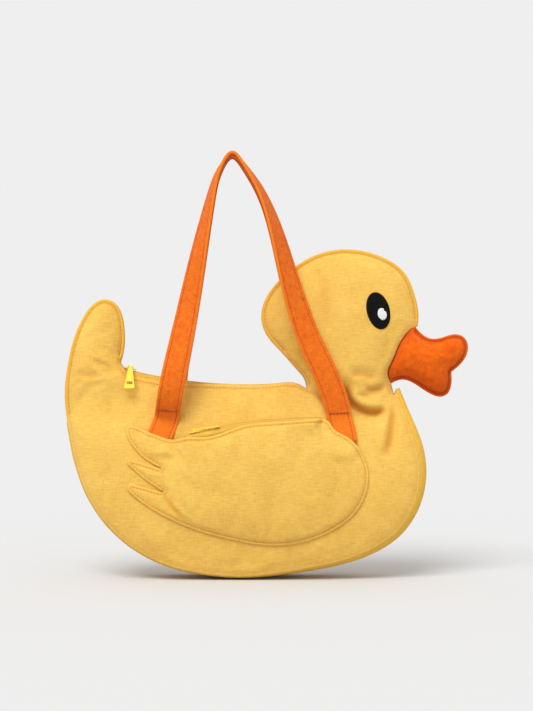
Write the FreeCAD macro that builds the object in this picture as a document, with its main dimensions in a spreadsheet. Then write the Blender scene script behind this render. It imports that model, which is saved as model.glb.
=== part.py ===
"""Duck-shaped zip handbag in soft canvas: body, stuffed tail, nodding stuffed head,
wing with a zipped pocket, two webbing handles and a zip along the back.

Frame: millimetres, origin at the centre of the flat base, +Z up, +X towards the beak,
-Y is the front, where the pocket wing is. The bag is symmetric about the plane Y = 0
apart from the wing pocket and the pulls.
"""
import FreeCAD, Part
import math
import os
from FreeCAD import Placement, Rotation, Vector

os.makedirs("parts", exist_ok=True)
doc = FreeCAD.newDocument("duck_bag")

# ---------------------------------------------------------------- driving dimensions
SIZES = {
    # body shell
    "cloth": 2.0,             # canvas with its interlining
    "base_half": 30.0,        # half depth at the hem
    "belly_half": 33.3,       # half depth at the fullest height
    "belly_height": 65.0,
    "chest_half": 29.5,       # half depth where the side starts to lean in
    "chest_height": 130.0,
    "shoulder_half": 24.5,    # half depth at the foot of the handles
    "shoulder_height": 166.0,
    "waist_half": 9.5,        # half depth along the zip
    "waist_height": 189.0,
    "tail_half": 11.5,
    "tail_height": 218.0,
    "tail_top_half": 3.2,
    "tail_top": 279.0,
    "lining_cloth": 0.8,
    "reach": 230.0,           # longer than the bag, for cutting prisms
    # head and beak
    "neck_x": 112.0,          # centre of the neck, about which the head nods
    "neck_z": 227.0,
    "neck_radius": 56.8,
    "neck_gap": 0.8,
    "head_half": 16.0,
    "fibre_gap": 1.0,         # between the tail's fibre and its cloth
    "core_inset": 4.0,        # the fibre cores stay this far inside the seams
    "head_core_half": 5.0,
    "beak_half": 9.0,
    "beak_core_half": 3.0,
    "felt": 1.2,
    "eye_x": 137.4,
    "eye_z": 266.0,
    "eye_long": 19.0,
    "eye_short": 11.5,
    "eye_lean": 15.0,
    "glint_x": 141.0,
    "glint_z": 262.3,
    "glint_radius": 5.2,
    # wings
    "wing_cloth": 2.2,
    "feather_pad": 3.6,       # thickness of the flat feathers on the side of the bag
    "pocket_foot": 5.5,       # clear depth of the pocket at its foot
    "pocket_flare": 6.5,      # how much deeper it is at its mouth
    "back_wing_pad": 3.0,
    # zips
    "coil_height": 2.2,
    "coil_row": 2.0,          # width of one row of teeth
    "coil_gap": 1.2,          # room for the slider's blade
    "tape": 0.8,
    "slider_long": 12.0,
    "slider_wide": 7.0,
    "slider_plate": 1.2,
    "slider_throat": 3.2,     # clear height between the slider's plates
    "blade": 0.6,
    "blade_long": 3.0,
    "pin_radius": 0.6,
    "pin_gap": 0.4,           # the pulls hang loosely on their pins
    "pin_up": 4.4,            # height of the pull's pin above the chain
    "pin_front": 5.2,         # how far the main pull's pin stands in front
    "lug": 1.0,
    "lug_radius": 1.3,
    "lug_gap": 0.45,
    "knuckle_radius": 1.4,
    "knuckle_wide": 3.0,
    "main_pull_long": 29.0,
    "pocket_pull_long": 25.0,
    "pull_thick": 1.5,
    "pull_neck": 4.4,
    "pull_wide": 10.6,
    "window_wide": 6.0,
    "window_high": 4.0,
    "window_low": 5.0,        # foot of the window above the pull's lower edge
    "pull_lean": 41.6,        # the main pull leans on the edge of the bag
    "pull_droop": 5.0,        # the pocket pull lies almost level
    "stop_long": 2.4,
    "stop_high": 3.4,
    "stop_wide": 7.0,
    # handles
    "strap_wide": 25.0,
    "strap": 3.0,
    "strap_foot": 167.3,      # height where the free loop starts
}

sheet = doc.addObject("Spreadsheet::Sheet", "sizes")
for row, (alias, number) in enumerate(SIZES.items(), start=1):
    cell = "A%d" % row
    sheet.set(cell, str(number))
    sheet.setAlias(cell, alias)
doc.recompute()


def size(alias):
    return float(sheet.get(alias))


# ------------------------------------------------------------------- building helpers
FACING_FRONT = Placement(Vector(0, 0, 0), Rotation(Vector(1, 0, 0), 90))
ALONG_X = Placement(
    Vector(0, 0, 0), Rotation(Vector(0, 1, 0), Vector(0, 0, 1), Vector(1, 0, 0), "ZXY")
)
subparts = []


def flat(point):
    return Vector(point[0], point[1], 0)


def line(start, end):
    return Part.LineSegment(flat(start), flat(end))


def arc(start, middle, end):
    return Part.Arc(flat(start), flat(middle), flat(end))


def curve(*points):
    spline = Part.BSplineCurve()
    spline.interpolate([flat(point) for point in points])
    return spline


def polygon(*points):
    return [line(a, b) for a, b in zip(points, points[1:] + points[:1])]


def drawn(strokes, distance=0.0, centre=(0.0, 0.0)):
    """Edges for a list of strokes, each point drawn in towards a centre by a distance."""
    def moved(point):
        towards = flat(centre) - flat(point)
        shifted = flat(point) + towards.normalize() * distance
        return (shifted.x, shifted.y)

    return [stroke(*[moved(point) for point in points]) for stroke, *points in strokes]


def sketch(name, placement, edges):
    """A closed sketch on a world plane: the front view or the cross-section."""
    made = doc.addObject("Sketcher::SketchObject", name)
    made.Placement = placement
    for edge in edges:
        made.addGeometry(edge, False)
    return made


def prism(name, profile, forward, backward="0"):
    """The profile pushed along its own normal; both lengths are expressions."""
    made = doc.addObject("Part::Extrusion", name)
    made.Base = profile
    made.DirMode = "Custom"
    made.Dir = profile.Placement.Rotation.multVec(Vector(0, 0, 1))
    made.Solid = True
    made.setExpression("LengthFwd", forward)
    made.setExpression("LengthRev", backward)
    return made


def through(name, profile):
    return prism(name, profile, "sizes.reach", "sizes.reach")


def both(name, first, second):
    made = doc.addObject("Part::Common", name)
    made.Base, made.Tool = first, second
    return made


def less(name, first, second):
    made = doc.addObject("Part::Cut", name)
    made.Base, made.Tool = first, second
    return made


def joined(name, *solids):
    made = doc.addObject("Part::MultiFuse", name)
    made.Shapes = list(solids)
    return made


def mirrored(name, source):
    """The same piece on the back of the bag."""
    made = doc.addObject("Part::Mirroring", name)
    made.Source = source
    made.Base = Vector(0, 0, 0)
    made.Normal = Vector(0, 1, 0)
    return subpart(name, made)


def subpart(label, made):
    made.Label = label
    subparts.append(made)
    return made


def plane_sketch(body, name, role, edges, offset=0.0):
    """A sketch on one of a body's own planes."""
    made = body.newObject("Sketcher::SketchObject", name)
    plane = [item for item in body.Origin.OriginFeatures if item.Role == role][0]
    made.AttachmentSupport = [(plane, "")]
    made.MapMode = "FlatFace"
    made.AttachmentOffset = Placement(Vector(0, 0, offset), Rotation())
    for edge in edges:
        made.addGeometry(edge, False)
    return made


def pad(body, profile, length, symmetric=False):
    made = body.newObject("PartDesign::Pad", profile.Name + "_pad")
    made.Profile = profile
    made.SideType = "Symmetric" if symmetric else "One side"
    made.setExpression("Length", length)
    return made


def circle(centre, radius):
    return [Part.Circle(flat(centre), Vector(0, 0, 1), radius)]


def box_edges(low, high):
    return polygon(low, (high[0], low[1]), high, (low[0], high[1]))


# ------------------------------------------------- cross-section of the body (Y, Z)
def side_edges(offset, flare=0.0):
    """The front side of the bag in cross-section, moved along Y by offset.

    Flare moves it further out with height, by its full amount at the shoulder.
    """
    def knot(half, height):
        rise = min(1.0, height / size("shoulder_height"))
        return (offset - flare * rise - size(half), height)

    hem = knot("base_half", 0.0)
    belly = knot("belly_half", size("belly_height"))
    chest = knot("chest_half", size("chest_height"))
    knots = [
        chest,
        knot("shoulder_half", size("shoulder_height")),
        knot("waist_half", size("waist_height")),
        knot("tail_half", size("tail_height")),
        knot("tail_top_half", size("tail_top")),
    ]
    edges = [arc(hem, belly, chest)] + [line(a, b) for a, b in zip(knots, knots[1:])]
    return edges, hem, knots[-1]


def side_band(name, outer, inner, flare=0.0):
    """A layer that follows the front side, from one offset to the other."""
    outer_edges, outer_hem, outer_top = side_edges(outer, flare)
    inner_edges, inner_hem, inner_top = side_edges(inner)
    closing = [line(outer_hem, inner_hem), line(outer_top, inner_top)]
    return through(name, sketch(name + "_section", ALONG_X, outer_edges + inner_edges + closing))


def side_room(name, inner):
    """Everything between the front side at this offset and its mirror image."""
    edges, hem, top = side_edges(inner)
    front = Part.Wire([edge.toShape() for edge in edges])
    back = front.mirror(Vector(0, 0, 0), Vector(1, 0, 0))
    for piece in back.Edges:
        edges.append(piece.Curve.trim(piece.FirstParameter, piece.LastParameter))
    edges += [line(hem, (-hem[0], hem[1])), line(top, (-top[0], top[1]))]
    return through(name, sketch(name + "_section", ALONG_X, edges))


# ------------------------------------------------------------- outlines, front view
FLAT_LEFT, FLAT_RIGHT = (-42, 0), (50, 0)
NOTCH_LEFT, NOTCH_RIGHT = (57, 190.5), (158.5, 189.5)


def on_neck(angle, gap):
    """A point on the round neck seam, at an angle in degrees from +X."""
    radius = size("neck_radius") + gap
    turn = math.radians(angle)
    return (size("neck_x") + radius * math.cos(turn), size("neck_z") + radius * math.sin(turn))


# Where the neck seam starts, its lowest point and its end; the corners of the body
# and of the head stay a few degrees apart so that the head can nod.
NECK_LEFT, NECK_LOW, NECK_RIGHT = 217.0, 270.0, 320.0
BODY_CORNER, HEAD_CORNER = 6.0, 4.0
neck_left = on_neck(NECK_LEFT + BODY_CORNER, size("neck_gap"))
neck_right = on_neck(NECK_RIGHT, size("neck_gap"))
TAIL_TIP = (-136, 278)
TAIL_NOTCH = (-119, 214)
EDGE_END = (-112, 201)
BODY_CENTRE = (5, 110)
body_strokes = [
    (
        curve, TAIL_TIP, (-156, 262), (-169, 228), (-175, 187), (-167, 123), (-148, 69),
        (-105, 27), FLAT_LEFT,
    ),
    (line, FLAT_LEFT, FLAT_RIGHT),
    (curve, FLAT_RIGHT, (107, 15), (162, 45), (185, 93), (183, 129), (169, 165), NOTCH_RIGHT),
    (line, NOTCH_RIGHT, neck_right),
    (arc, neck_right, on_neck(NECK_LOW, size("neck_gap")), neck_left),
    (line, neck_left, NOTCH_LEFT),
    (curve, NOTCH_LEFT, (34, 189.4), (-30, 190.2), (-75, 194.3), (-100, 198.8), EDGE_END),
    (line, EDGE_END, TAIL_NOTCH),
    (curve, TAIL_NOTCH, (-115, 238), (-119, 265), TAIL_TIP),
]

# ------------------------------------------------------------------- body panels
body_plan = sketch("body_plan", FACING_FRONT, drawn(body_strokes))
body_block = through("body_block", body_plan)
cloth_band = side_band("cloth_band", 0.0, size("cloth"))
front_panel = subpart("front_body_panel", both("front_body_panel", body_block, cloth_band))
mirrored("back_body_panel", front_panel)

# The gusset runs round the underside between the two panels, from rump to breast.
inner_plan = sketch("inner_plan", FACING_FRONT, drawn(body_strokes, size("cloth"), BODY_CENTRE))
inner_block = through("inner_block", inner_plan)
rim = less("rim", body_block, inner_block)
gusset_reach = polygon(
    (-200, -10), (-200, 150), (-140, 150), (-90, 60),
    (100, 60), (156, 140), (156, 183), (200, 183), (200, -10),
)
gusset_zone = through("gusset_zone", sketch("gusset_reach", FACING_FRONT, gusset_reach))
between_panels = side_room("between_panels", size("cloth"))
subpart("base_gusset", both("base_gusset", both("gusset_strip", rim, gusset_zone), between_panels))

# Loose fibre in the tail, above the level of the zip.
tail_plan = [
    curve((-170, 190), (-163, 228), (-152, 258), (-138, 270)),
    line((-138, 270), (-128, 262)),
    curve((-128, 262), (-122, 240), (-124, 218), (-128, 204)),
    line((-128, 204), (-170, 190)),
]
tail_block = through("tail_block", sketch("tail_plan", FACING_FRONT, tail_plan))
tail_room = side_room("tail_room", size("cloth") + size("fibre_gap"))
subpart("tail_filling", both("tail_filling", tail_block, tail_room))

# Cotton lining of the main compartment, one layer inside each panel.
lining_plan = [
    curve(
        (-150, 184), (-164, 150), (-152, 92), (-104, 38), (-42, 8), (50, 7), (110, 22),
        (166, 70), (172, 120), (158, 160),
    ),
    line((158, 160), (60, 160)),
    line((60, 160), (50, 186)),
    line((50, 186), (-118, 186)),
    line((-118, 186), (-150, 184)),
]
lining_block = through("lining_block", sketch("lining_plan", FACING_FRONT, lining_plan))
lining_band = side_band("lining_band", size("cloth"), size("cloth") + size("lining_cloth"))
front_lining = subpart("front_lining", both("front_lining", lining_block, lining_band))
mirrored("back_lining", front_lining)

# --------------------------------------------------------------------- head and beak
FACE_TOP, FACE_LOW = (174, 253), (150.5, 193.5)
FACE_SEAM = (curve, FACE_TOP, (164.5, 241), (153, 218), (147, 204), FACE_LOW)
head_left = on_neck(NECK_LEFT, 0)
head_right = on_neck(NECK_RIGHT - HEAD_CORNER, 0)
HEAD_CENTRE, BEAK_CENTRE = (102, 252), (188, 216)
head_strokes = [
    (
        curve, head_left, (51, 213), (25, 246), (24, 276), (54, 311), (106, 327.5),
        (150, 316), (175, 280), FACE_TOP,
    ),
    FACE_SEAM,
    (line, FACE_LOW, head_right),
    (arc, head_right, on_neck(NECK_LOW, 0), head_left),
]
beak_strokes = [
    (curve, FACE_TOP, (180, 245), (192, 238.5), (211, 242), (226, 236), (226, 220), (211, 204.5)),
    (curve, (211, 204.5), (211, 190), (200, 180.5), (168, 196.5), FACE_LOW),
    FACE_SEAM,
]


def stuffed(label, strokes, centre, half, core_half, core_edges):
    """Two dished covers back to back over a core of fibre."""
    plan = sketch(label + "_plan", FACING_FRONT, drawn(strokes))
    inside = sketch(label + "_inside", FACING_FRONT, drawn(strokes, size("cloth"), centre))
    cover = less(
        "front_%s_cover" % label,
        prism(label + "_outer", plan, "sizes." + half),
        prism(label + "_hollow", inside, "sizes.%s - sizes.cloth" % half),
    )
    cover = subpart("front_%s_cover" % label, cover)
    mirrored("back_%s_cover" % label, cover)
    core_plan = sketch(label + "_core", FACING_FRONT, core_edges)
    core = prism(label + "_filling", core_plan, "sizes." + core_half, "sizes." + core_half)
    subpart(label + "_filling", core)


head_core = drawn(head_strokes, size("core_inset"), HEAD_CENTRE)
beak_core = [
    curve((172, 236), (190, 229), (208, 232), (217, 225), (205, 213), (200, 204), (190, 201), (168, 211)),
    line((168, 211), (172, 236)),
]
stuffed("head", head_strokes, HEAD_CENTRE, "head_half", "head_core_half", head_core)
stuffed("beak", beak_strokes, BEAK_CENTRE, "beak_half", "beak_core_half", beak_core)


def felt_patch(label, long_alias, short_alias, across, up, lean, layer):
    """A padded oval of felt on the side of the head, as a pad on its own body."""
    body = doc.addObject("PartDesign::Body", label)
    turn = math.radians(90.0 + lean)
    centre = Vector(size(across), size(up), 0)
    tip = centre + Vector(math.cos(turn), math.sin(turn), 0) * size(long_alias)
    side = centre + Vector(-math.sin(turn), math.cos(turn), 0) * size(short_alias)
    oval = plane_sketch(body, label + "_oval", "XZ_Plane", [Part.Ellipse(tip, side, centre)])
    pad(body, oval, "sizes.felt")
    body.setExpression("Placement.Base.y", "-sizes.head_half - %d * sizes.felt" % layer)
    return subpart(label, body)


front_eye = felt_patch("front_eye_patch", "eye_long", "eye_short", "eye_x", "eye_z", size("eye_lean"), 0)
mirrored("back_eye_patch", front_eye)
front_glint = felt_patch("front_eye_glint", "glint_radius", "glint_radius", "glint_x", "glint_z", 0.0, 1)
mirrored("back_eye_glint", front_glint)

# -------------------------------------------------------------------------- wings
WING_TOP = (-88, 143.5)
wing_outline = [
    curve(WING_TOP, (-62, 139), (-28, 141.5), (10, 152.5), (49, 156), (84, 158)),
    curve(
        (84, 158), (106, 145), (126, 122), (130, 96), (118, 60), (70, 34), (38, 29), (0, 38),
        (-42, 45), (-79, 60), (-112, 84),
    ),
    line((-112, 84), (-113, 93)),
    line((-113, 93), (-78, 82.5)),
    line((-78, 82.5), (-80, 88.5)),
    line((-80, 88.5), (-113, 112)),
    line((-113, 112), (-112, 120)),
    line((-112, 120), (-81, 106.5)),
    line((-81, 106.5), (-81, 111)),
    curve((-81, 111), (-104, 125), (-115, 141.5)),
    line((-115, 141.5), (-113, 152)),
    line((-113, 152), WING_TOP),
]
pocket_outline = [
    line((-62, 170), (94, 170)),
    line((94, 170), (94, 148)),
    curve(
        (94, 148), (114, 126), (122, 96), (108, 60), (70, 42), (38, 37), (0, 46), (-38, 53),
        (-62, 61),
    ),
    line((-62, 61), (-62, 170)),
]
wing_block = through("wing_block", sketch("wing_plan", FACING_FRONT, wing_outline))
pocket_block = through("pocket_block", sketch("pocket_plan", FACING_FRONT, pocket_outline))
# The feathers stay flat; the wing swells out from their roots to the right.
swelling = polygon((-66, -10), (-66, 200), (200, 200), (200, -10))
swelling_block = through("swelling_block", sketch("swelling_plan", FACING_FRONT, swelling))
feather_band = side_band("feather_band", -size("feather_pad"), 0.0)
puff_band = side_band("puff_band", -size("pocket_foot") - size("wing_cloth"), 0.0, size("pocket_flare"))
room_band = side_band("room_band", -size("pocket_foot"), 0.0, size("pocket_flare"))
wing_body = joined("wing_body", feather_band, both("wing_puff", puff_band, swelling_block))
wing_solid = both("wing_solid", wing_block, wing_body)
pocket_room = both("pocket_room", pocket_block, room_band)
front_wing = subpart("front_wing", less("front_wing", wing_solid, pocket_room))

lining_inset = polygon((-60, 134), (92, 134), (92, 66), (-60, 66))
pocket_sheet = through("pocket_sheet", sketch("pocket_lining_plan", FACING_FRONT, lining_inset))
pocket_skin = side_band("pocket_skin", -size("lining_cloth"), 0.0)
subpart("pocket_lining", both("pocket_lining", pocket_sheet, pocket_skin))

applique_band = side_band("applique_band", -size("back_wing_pad"), 0.0)
mirrored("back_wing", both("back_wing_front", wing_block, applique_band))

# --------------------------------------------------------------------------- zips
def circle_through(first, middle, last):
    found = Part.Arc(flat(first), flat(middle), flat(last)).toShape().Curve
    return (found.Center.x, found.Center.y), found.Radius


def ring_sector(centre, radius, low, high, first, last):
    """The four edges of a band along an arc, between two radii and two angles."""
    def at(distance, angle):
        return (centre[0] + distance * math.cos(angle), centre[1] + distance * math.sin(angle))

    half = (first + last) / 2.0
    inner, outer = radius + low, radius + high
    return [
        arc(at(inner, first), at(inner, half), at(inner, last)),
        line(at(inner, last), at(outer, last)),
        arc(at(outer, last), at(outer, half), at(outer, first)),
        line(at(outer, first), at(inner, first)),
    ]


class Zip:
    """One zip: an arc in the front view, with the chain centred on depth."""

    def __init__(self, name, start, middle, end, depth):
        self.name = name
        self.depth = depth
        self.centre, self.radius = circle_through(start, middle, end)
        self.first = self.angle(start)
        self.last = self.angle(end)

    def angle(self, point):
        return math.atan2(point[1] - self.centre[1], point[0] - self.centre[0])

    def slab(self, name, thickness, low, high, first=None, last=None):
        """A band along the arc, between two depths counted from the chain."""
        half = thickness / 2.0
        edges = ring_sector(
            self.centre, self.radius, -half, half,
            self.first if first is None else first, self.last if last is None else last,
        )
        plan = sketch(name + "_plan", FACING_FRONT, edges)
        return prism(name, plan, "%.3f" % -(self.depth + low), "%.3f" % (self.depth + high))

    def chain(self):
        rows = []
        inner = size("coil_gap") / 2.0
        outer = inner + size("coil_row")
        for side, (low, high) in enumerate(((inner, outer), (-outer, -inner))):
            rows.append(self.slab("%s_row_%d" % (self.name, side), size("coil_height"), low, high))
        group = doc.addObject("Part::Compound", self.name + "_chain")
        group.Links = rows
        return subpart(self.name + "_chain", group)

    def strip(self, label, low, high):
        return subpart(label, self.slab(label, size("tape"), low, high))

    def stops(self):
        """A block across the chain at each end."""
        ends = []
        half = size("stop_wide") / 2.0
        length = size("stop_long") / self.radius * math.copysign(1.0, self.last - self.first)
        spans = ((self.first - length, self.first), (self.last, self.last + length))
        for number, (first, last) in enumerate(spans):
            name = "%s_stop_%d" % (self.name, number)
            ends.append(self.slab(name, size("stop_high"), -half, half, first, last))
        group = doc.addObject("Part::Compound", self.name + "_stops")
        group.Links = ends
        return subpart(self.name + "_stops", group)


ROW_EDGE = size("coil_gap") / 2.0 + size("coil_row")
MAIN_TAPE_EDGE = size("waist_half") - size("cloth")
POCKET_TAPE_LOWER, POCKET_TAPE_UPPER = -4.3, 4.5
main_zip = Zip("main_zip", (-117.5, 208.3), (-30, 193.4), (56, 194.4), 0.0)
main_zip.chain()
main_zip.stops()
main_zip.strip("main_zip_front_tape", -MAIN_TAPE_EDGE, -ROW_EDGE)
main_zip.strip("main_zip_back_tape", ROW_EDGE, MAIN_TAPE_EDGE)

POCKET_CHAIN_DEPTH = -32.6
pocket_zip = Zip("pocket_zip", (-52, 142.6), (10, 154.5), (84, 158.6), POCKET_CHAIN_DEPTH)
pocket_zip.chain()
pocket_zip.stops()
pocket_zip.strip("pocket_zip_lower_tape", POCKET_TAPE_LOWER, -ROW_EDGE)
pocket_zip.strip("pocket_zip_upper_tape", ROW_EDGE, POCKET_TAPE_UPPER)


# ------------------------------------------------------------- sliders and pulls
def plate_edges():
    """A slider's plate seen from above: a shield, narrow at the closed end."""
    half_long, half_wide = size("slider_long") / 2.0, size("slider_wide") / 2.0
    return polygon(
        (-half_long, -half_wide * 0.8), (-half_long * 0.3, -half_wide),
        (half_long * 0.6, -half_wide * 0.85), (half_long, -half_wide * 0.55),
        (half_long, half_wide * 0.55), (half_long * 0.6, half_wide * 0.85),
        (-half_long * 0.3, half_wide), (-half_long, half_wide * 0.8),
    )


def lug_edges(root, pin):
    """One lug in side view: from the edge of the top plate up to the pin."""
    reach = size("lug_radius")
    foot = size("slider_throat") / 2.0
    out = math.copysign(1.0, pin[0] - root) if pin[0] != root else 0.0
    if out == 0.0:
        return polygon(
            (root - reach, foot), (root + reach, foot), (root + reach, pin[1]),
            (root + reach * 0.5, pin[1] + reach), (root - reach * 0.5, pin[1] + reach),
            (root - reach, pin[1]),
        )
    return polygon(
        (root, foot), (root + out * 1.6, foot), (pin[0] + out * reach, pin[1] - reach * 0.6),
        (pin[0] + out * reach, pin[1] + reach * 0.6), (pin[0] + out * reach * 0.4, pin[1] + reach),
        (pin[0] - out * reach, pin[1] + reach), (root, pin[1] - reach),
    )


def slider(label, lug_plane, root, pin):
    """Two plates on a blade, with two lugs that carry a pin for the pull."""
    body = doc.addObject("PartDesign::Body", label)
    half_long = size("slider_long") / 2.0
    rise = size("slider_throat") / 2.0 + size("slider_plate")
    blade = box_edges((-half_long, -rise), (-half_long + size("blade_long"), rise))
    pad(body, plane_sketch(body, label + "_blade", "XZ_Plane", blade), "sizes.blade", True)
    lower = plane_sketch(body, label + "_lower", "XY_Plane", plate_edges(), -rise)
    pad(body, lower, "sizes.slider_plate")
    upper = plane_sketch(body, label + "_upper", "XY_Plane", plate_edges(), size("slider_throat") / 2.0)
    pad(body, upper, "sizes.slider_plate")
    inside = size("knuckle_wide") / 2.0 + size("lug_gap")
    for side, start in (("near", inside), ("far", -inside - size("lug"))):
        name = "%s_lug_%s" % (label, side)
        pad(body, plane_sketch(body, name, lug_plane, lug_edges(root, pin), start), "sizes.lug")
    rod = plane_sketch(body, label + "_pin", lug_plane, circle(pin, size("pin_radius")))
    pad(body, rod, "sizes.knuckle_wide + 2 * sizes.lug_gap + 2 * sizes.lug", True)
    return subpart(label, body)


def pull(label, reach_alias):
    """A tapered tab with a window, on a knuckle that turns about the slider's pin."""
    body = doc.addObject("PartDesign::Body", label)
    neck, wide, reach = size("pull_neck") / 2.0, size("pull_wide") / 2.0, size(reach_alias)
    tab = polygon(
        (-neck * 0.5, -0.3), (-neck, -4.0), (-wide + 0.6, -reach + 5.0),
        (-wide, -reach + 1.2), (-wide + 1.2, -reach), (wide - 1.2, -reach),
        (wide, -reach + 1.2), (wide - 0.6, -reach + 5.0), (neck, -4.0), (neck * 0.5, -0.3),
    )
    barrel = plane_sketch(body, label + "_knuckle", "YZ_Plane", circle((0, 0), size("knuckle_radius")))
    pad(body, barrel, "sizes.knuckle_wide", True)
    pad(body, plane_sketch(body, label + "_tab", "XZ_Plane", tab), "sizes.pull_thick", True)
    low, half_window = -reach + size("window_low"), size("window_wide") / 2.0
    window = box_edges((-half_window, low), (half_window, low + size("window_high")))
    bore = circle((0, 0), size("pin_radius") + size("pin_gap"))
    for part, role, edges in (("window", "XZ_Plane", window), ("bore", "YZ_Plane", bore)):
        made = body.newObject("PartDesign::Pocket", "%s_%s_cut" % (label, part))
        made.Profile = plane_sketch(body, "%s_%s" % (label, part), role, edges)
        made.SideType = "Symmetric"
        made.Length = 4 * size("pull_thick")
    return subpart(label, body)


def on_zip(track, x):
    """Where a slider sits when its middle is at x, turned to follow the chain."""
    up = -1.0 if track.centre[1] > 150.0 else 1.0
    rise = up * math.sqrt(track.radius ** 2 - (x - track.centre[0]) ** 2)
    slope = -(x - track.centre[0]) / rise
    place = Vector(x, track.depth, track.centre[1] + rise)
    return Placement(place, Rotation(Vector(0, -1, 0), math.degrees(math.atan(slope))))


SLIDER_X, POCKET_SLIDER_X = -110.0, -43.5
main_seat = on_zip(main_zip, SLIDER_X)
pocket_seat = on_zip(pocket_zip, POCKET_SLIDER_X)
MAIN_PIN = Vector(0, -size("pin_front"), size("pin_up"))
POCKET_PIN = Vector(0, 0, size("pin_up"))
lug_root = -size("slider_wide") / 2.0 + 0.6
main_slider = slider("main_zip_slider", "YZ_Plane", lug_root, (MAIN_PIN.y, MAIN_PIN.z))
main_slider.Placement = main_seat
pocket_slider = slider("pocket_zip_slider", "XZ_Plane", 0.0, (0.0, POCKET_PIN.z))
pocket_slider.Placement = pocket_seat
main_pull = pull("main_zip_pull", "main_pull_long")
# The main pull hangs plumb on its pin, whatever the slope of the chain.
main_pull.Placement = Placement(
    main_seat.multVec(MAIN_PIN), Rotation(Vector(-1, 0, 0), size("pull_lean"))
)
droop = math.radians(size("pull_droop"))
lying = Rotation(
    Vector(0, 1, 0), Vector(-math.sin(droop), 0, -math.cos(droop)),
    Vector(-math.cos(droop), 0, math.sin(droop)), "ZXY",
)
pocket_pull = pull("pocket_zip_pull", "pocket_pull_long")
pocket_pull.Placement = pocket_seat * Placement(POCKET_PIN, lying)

# ------------------------------------------------------------------------ handles
LEFT_END = polygon((-81.6, 166.2), (-56.8, 166.2), (-66.0, 134.0), (-90.0, 139.0))
RIGHT_END = polygon((84.5, 166.2), (109.6, 166.2), (114.0, 136.0), (89.5, 138.0))
strap_band = side_band("strap_band", -size("strap"), 0.0)
ends = []
for side, outline in (("left", LEFT_END), ("right", RIGHT_END)):
    block = through(side + "_end_block", sketch(side + "_end_plan", FACING_FRONT, outline))
    ends.append(both(side + "_end", block, strap_band))
front_ends = less("front_handle_ends", joined("handle_ends", *ends), wing_block)
front_ends = subpart("front_handle_ends", front_ends)
mirrored("back_handle_ends", front_ends)
FOOT = size("strap_foot")
HANDLE_PATH = [
    (-69.2, -27.2, FOOT), (-54.8, -28.8, 248), (-42, -27.0, 313.6), (-27, -21.0, 385.3),
    (-17.5, -17.0, 411.5), (-7.2, -15.0, 422.0), (3.4, -17.0, 412.5), (20.6, -21.0, 385.4),
    (44.7, -27.0, 313.7), (68.9, -28.8, 236.8), (97, -27.2, FOOT),
]
TWIST_FROM, STATIONS = 185.0, 40


def handle_loop():
    """A flat strap that lies against the bag at both feet and turns a quarter to the top."""
    path = Part.BSplineCurve()
    path.interpolate([Vector(*point) for point in HANDLE_PATH])
    top = max(point[2] for point in HANDLE_PATH)
    out_half, across_half = size("strap") / 2.0, size("strap_wide") / 2.0
    sections = []
    for step in range(STATIONS + 1):
        share = step / STATIONS
        place = path.FirstParameter * (1.0 - share) + path.LastParameter * share
        centre, along = path.value(place), path.tangent(place)[0]
        if step in (0, STATIONS):
            along = Vector(0, 0, 1 if step == 0 else -1)
        twisted = min(1.0, max(0.0, (centre.z - TWIST_FROM) / (top - TWIST_FROM)))
        turn = math.radians(90.0 * twisted)
        outside = along.cross(Vector(0, 1, 0)).normalize()
        face = Vector(0, -1, 0) * math.cos(turn) + outside * math.sin(turn)
        face = (face - along * face.dot(along)).normalize()
        across = along.cross(face)
        wide, thick = across * across_half, face * out_half
        corners = [wide + thick, thick - wide, -wide - thick, wide - thick]
        corners = [centre + corner for corner in corners]
        sections.append(Part.makePolygon(corners + corners[:1]))
    return Part.makeLoft(sections, True, True)


front_handle = doc.addObject("Part::Feature", "front_handle")
front_handle.Shape = handle_loop()
subpart("front_handle", front_handle)
mirrored("back_handle", front_handle)

# ------------------------------------------------------------------ checks, export
doc.recompute()
for item in doc.Objects:
    if "Invalid" in item.State or "Error" in item.State:
        raise RuntimeError("%s failed: %s" % (item.Name, item.State))
for item in subparts:
    shape = item.Shape
    if shape.isNull() or not shape.isValid() or not shape.Solids:
        raise RuntimeError("%s has no valid solid" % item.Label)
    shape.exportStep("parts/%s.step" % item.Label)

for track, seat in ((main_zip, main_seat), (pocket_zip, pocket_seat)):
    print(track.name, "centre", track.centre, "radius", track.radius, "slider", seat.Base)
print("main pull pin", main_seat.multVec(MAIN_PIN), "pocket pull pin", pocket_seat.multVec(POCKET_PIN))
print(len(subparts), "sub-parts")
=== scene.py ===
"""Looks of the duck handbag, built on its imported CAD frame.

Lengths are in millimetres until a mesh is made; +Z is up, +X is towards the beak and
-Y is the front. "Depth" is the distance in front of the middle plane Y = 0.
"""
import math

import bpy
import numpy as np
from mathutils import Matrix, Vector, noise
from mathutils.bvhtree import BVHTree
from mathutils.geometry import delaunay_2d_cdt


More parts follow.
